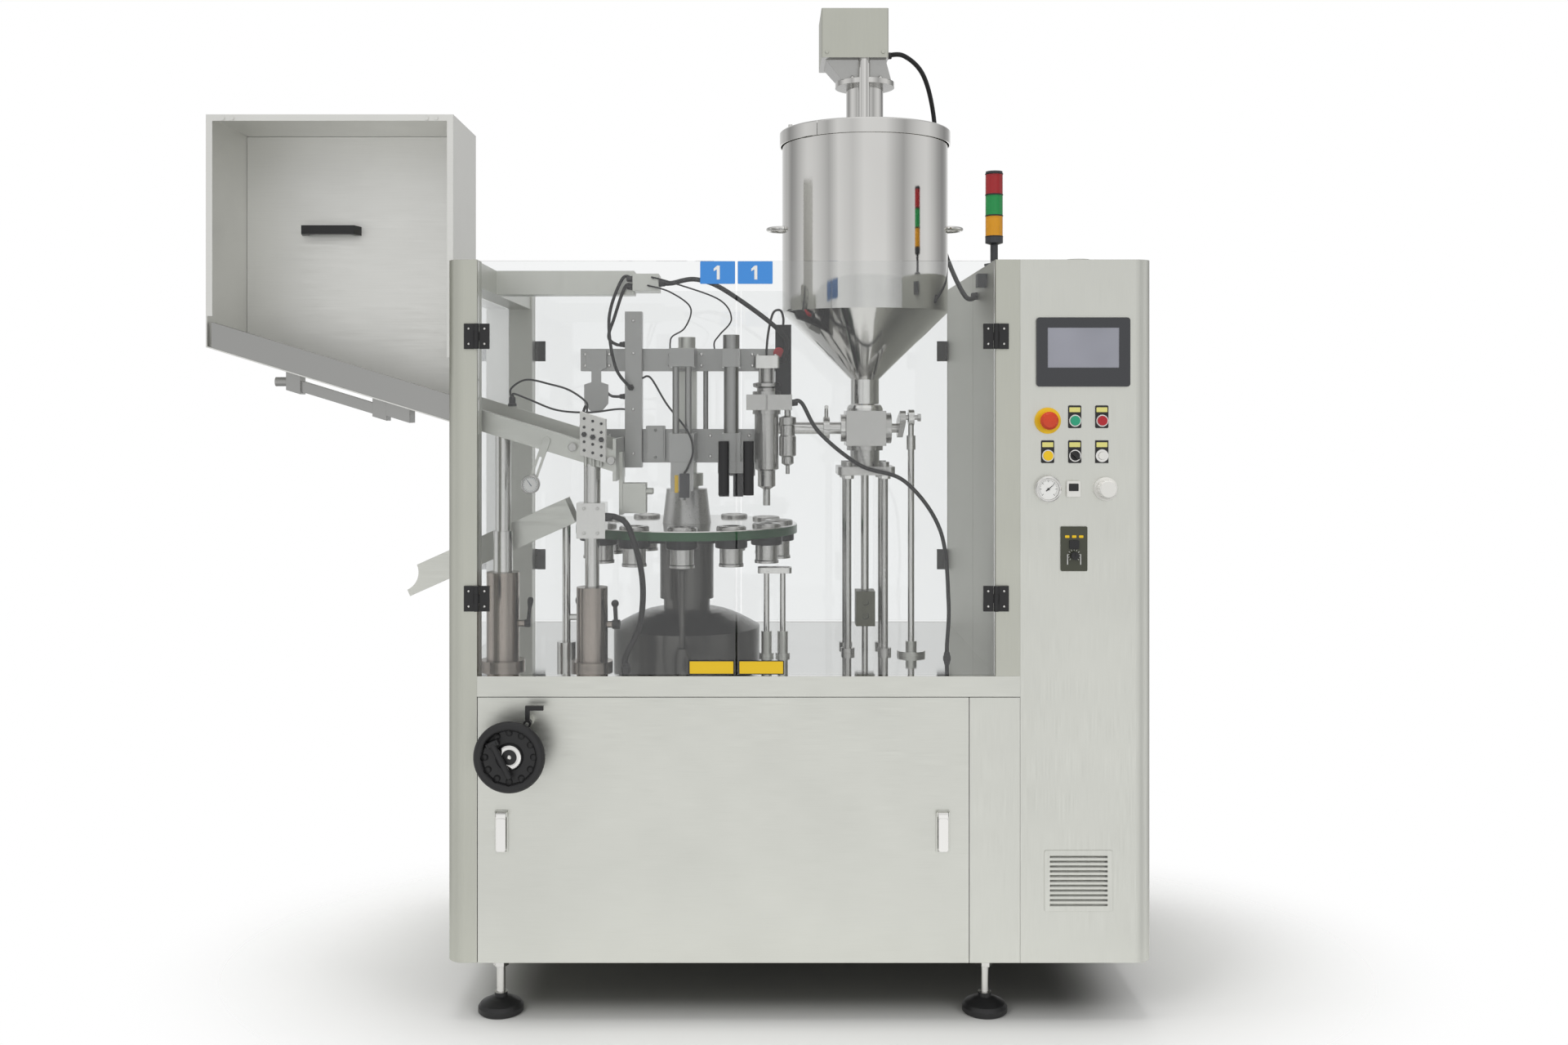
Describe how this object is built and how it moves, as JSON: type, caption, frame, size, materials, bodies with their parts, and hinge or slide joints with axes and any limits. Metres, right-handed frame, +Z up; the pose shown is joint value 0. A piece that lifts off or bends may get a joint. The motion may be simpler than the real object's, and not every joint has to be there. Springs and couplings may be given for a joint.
{
  "type": "tube filling machine",
  "caption": "Free-standing machine that indexes empty tubes round a turret, fills them from a stirred hopper through a rotary valve and piston pump, and discharges them down a chute.",
  "frame": {"origin": "middle of the machine's footprint box, on the floor", "axes": "+X to the operator's right, +Y from the operator to the rear, +Z up"},
  "size_m": [2.2, 1.036, 2.399],
  "materials": {
    "stainless_sheet": "brushed",
    "painted_frame": "satin",
    "clear_acrylic": "clear",
    "black_plastic": "matte",
    "machined_steel": "polished",
    "machined_aluminium": "satin",
    "green_plate": "anodised",
    "black_hub": "satin",
    "red_plastic": "gloss",
    "green_plastic": "gloss",
    "yellow_plastic": "gloss",
    "drive_paint": "painted",
    "control_gear": "matte",
    "black_rubber": "matte"
  },
  "bodies": {
    "machine": {"base_frame": "painted_frame", "base_panels": "stainless_sheet", "front_panel": "stainless_sheet", "worktop": "stainless_sheet", "door_posts": "stainless_sheet", "electrical_cabinet": "stainless_sheet", "guard_frame": "stainless_sheet", "side_guard": "clear_acrylic", "hinge_leaves": "black_plastic", "levelling_feet": "black_plastic", "cassette_box": "stainless_sheet", "cassette_rail": "machined_aluminium", "infeed_chute": "stainless_sheet", "loader_columns": "machined_steel", "discharge_chute": "stainless_sheet", "turret_column": "machined_steel", "mast": "machined_steel", "tool_beams": "machined_aluminium", "fill_head": "machined_steel", "fill_pipe": "machined_steel", "valve_block": "machined_steel", "pump_frame": "machined_steel", "hopper": "stainless_sheet", "hopper_lid": "stainless_sheet", "mixer_drive": "stainless_sheet", "signal_tower": "black_plastic", "operator_panel": "black_plastic", "control_trim": "black_plastic", "drive_units": "drive_paint", "control_gear": "control_gear", "hoses": "black_rubber"},
    "turntable": {"turntable": "green_plate", "turret_hub": "black_hub", "tube_cups": "machined_steel"},
    "handwheel": {"handwheel": "black_plastic"},
    "wheel_grip": {"wheel_grip": "black_plastic"},
    "clutch_lever": {"clutch_lever": "black_plastic"},
    "left_door": {"left_door": "clear_acrylic", "left_door_fittings": "black_plastic"},
    "right_door": {"right_door": "clear_acrylic", "right_door_fittings": "black_plastic"},
    "rear_left_door": {"rear_left_door": "clear_acrylic"},
    "rear_right_door": {"rear_right_door": "clear_acrylic"},
    "cassette_backplate": {"cassette_backplate": "stainless_sheet"},
    "clamp_lever": {"clamp_lever": "black_plastic"},
    "fill_piston": {"fill_piston": "machined_steel"},
    "valve_lever": {"valve_lever": "machined_steel"},
    "valve_rod": {"valve_rod": "machined_steel"},
    "agitator": {"agitator": "machined_steel"},
    "lid_flap": {"lid_flap": "stainless_sheet"},
    "lifter": {"lifter": "machined_steel"},
    "emergency_stop": {"emergency_stop": "red_plastic"},
    "start_button": {"start_button": "green_plastic"},
    "stop_button": {"stop_button": "red_plastic"},
    "jog_button": {"jog_button": "yellow_plastic"},
    "selector": {"selector": "black_plastic"},
    "regulator_knob": {"regulator_knob": "black_plastic"},
    "speed_knob": {"speed_knob": "black_plastic"},
    "left_latch": {"left_latch": "machined_steel"},
    "right_latch": {"right_latch": "machined_steel"}
  },
  "joints": [
    {"name": "turntable_index", "type": "hinge", "parent": "machine", "child": "turntable", "pos_m": [0.012, -0.02, 1.1], "axis": [0, 0, 1], "continuous": true},
    {"name": "handwheel_turn", "type": "hinge", "parent": "machine", "child": "handwheel", "pos_m": [-0.362, -0.498, 0.622], "axis": [0, -1, 0], "continuous": true},
    {"name": "grip_fold", "type": "hinge", "parent": "handwheel", "child": "wheel_grip", "pos_m": [-0.39712, -0.51, 0.65349], "axis": [-0.891, 0, -0.454], "range_deg": [0, 90]},
    {"name": "clutch_lever_turn", "type": "hinge", "parent": "machine", "child": "clutch_lever", "pos_m": [-0.328, -0.45, 0.688], "axis": [0, 1, 0], "range_deg": [-60, 30]},
    {"name": "left_door_swing", "type": "hinge", "parent": "machine", "child": "left_door", "pos_m": [-0.449, -0.427, 1.266], "axis": [0, 0, 1], "range_deg": [-110, 0]},
    {"name": "right_door_swing", "type": "hinge", "parent": "machine", "child": "right_door", "pos_m": [0.739, -0.427, 1.266], "axis": [0, 0, 1], "range_deg": [0, 110]},
    {"name": "rear_left_door_swing", "type": "hinge", "parent": "machine", "child": "rear_left_door", "pos_m": [-0.449, 0.467, 1.266], "axis": [0, 0, 1], "range_deg": [0, 110]},
    {"name": "rear_right_door_swing", "type": "hinge", "parent": "machine", "child": "rear_right_door", "pos_m": [0.739, 0.467, 1.266], "axis": [0, 0, 1], "range_deg": [-110, 0]},
    {"name": "backplate_slide", "type": "slide", "parent": "machine", "child": "cassette_backplate", "axis": [0, -1, 0], "range_m": [0, 0.15]},
    {"name": "clamp_lever_turn", "type": "hinge", "parent": "machine", "child": "clamp_lever", "pos_m": [-0.142, -0.288, 0.889], "axis": [1, 0, 0], "range_deg": [-60, 40]},
    {"name": "piston_stroke", "type": "slide", "parent": "machine", "child": "fill_piston", "axis": [0, 0, 1], "range_m": [-0.034, 0]},
    {"name": "valve_turn", "type": "hinge", "parent": "machine", "child": "valve_lever", "pos_m": [0.466, -0.04, 1.352], "axis": [1, 0, 0], "range_deg": [0, 40]},
    {"name": "valve_rod_stroke", "type": "slide", "parent": "machine", "child": "valve_rod", "axis": [0, 0, 1], "range_m": [-0.055, 0]},
    {"name": "agitator_spin", "type": "hinge", "parent": "machine", "child": "agitator", "pos_m": [0.466, -0.04, 1.9], "axis": [0, 0, 1], "continuous": true},
    {"name": "lid_flap_open", "type": "hinge", "parent": "machine", "child": "lid_flap", "pos_m": [0.338, -0.04, 2.109], "axis": [0, 1, 0], "range_deg": [0, 100]},
    {"name": "lifter_stroke", "type": "slide", "parent": "machine", "child": "lifter", "axis": [0, 0, 1], "range_m": [-0.03, 0.008]},
    {"name": "emergency_stop_press", "type": "slide", "parent": "machine", "child": "emergency_stop", "axis": [0, 1, 0], "range_m": [0, 0.005]},
    {"name": "start_press", "type": "slide", "parent": "machine", "child": "start_button", "axis": [0, 1, 0], "range_m": [0, 0.003], "stiffness_N_per_m": 600},
    {"name": "stop_press", "type": "slide", "parent": "machine", "child": "stop_button", "axis": [0, 1, 0], "range_m": [0, 0.003], "stiffness_N_per_m": 600},
    {"name": "jog_press", "type": "slide", "parent": "machine", "child": "jog_button", "axis": [0, 1, 0], "range_m": [0, 0.003], "stiffness_N_per_m": 600},
    {"name": "selector_turn", "type": "hinge", "parent": "machine", "child": "selector", "pos_m": [0.9195, -0.429, 1.294], "axis": [0, 1, 0], "range_deg": [-90, 0]},
    {"name": "regulator_turn", "type": "hinge", "parent": "machine", "child": "regulator_knob", "pos_m": [0.9895, -0.44, 1.218], "axis": [0, 1, 0], "range_deg": [-150, 150]},
    {"name": "speed_turn", "type": "hinge", "parent": "machine", "child": "speed_knob", "pos_m": [0.9175, -0.43, 1.066], "axis": [0, 1, 0], "range_deg": [-135, 135]},
    {"name": "left_latch_lift", "type": "hinge", "parent": "machine", "child": "left_latch", "pos_m": [-0.3925, -0.428, 0.475], "axis": [1, 0, 0], "range_deg": [-60, 0]},
    {"name": "right_latch_lift", "type": "hinge", "parent": "machine", "child": "right_latch", "pos_m": [0.6175, -0.428, 0.475], "axis": [1, 0, 0], "range_deg": [-60, 0]}
  ],
  "couplings": [
    {"joint": "handwheel_turn", "follows": "turntable_index", "ratio": 12},
    {"joint": "valve_rod_stroke", "follows": "valve_turn", "m_per_rad": -0.07839}
  ]
}
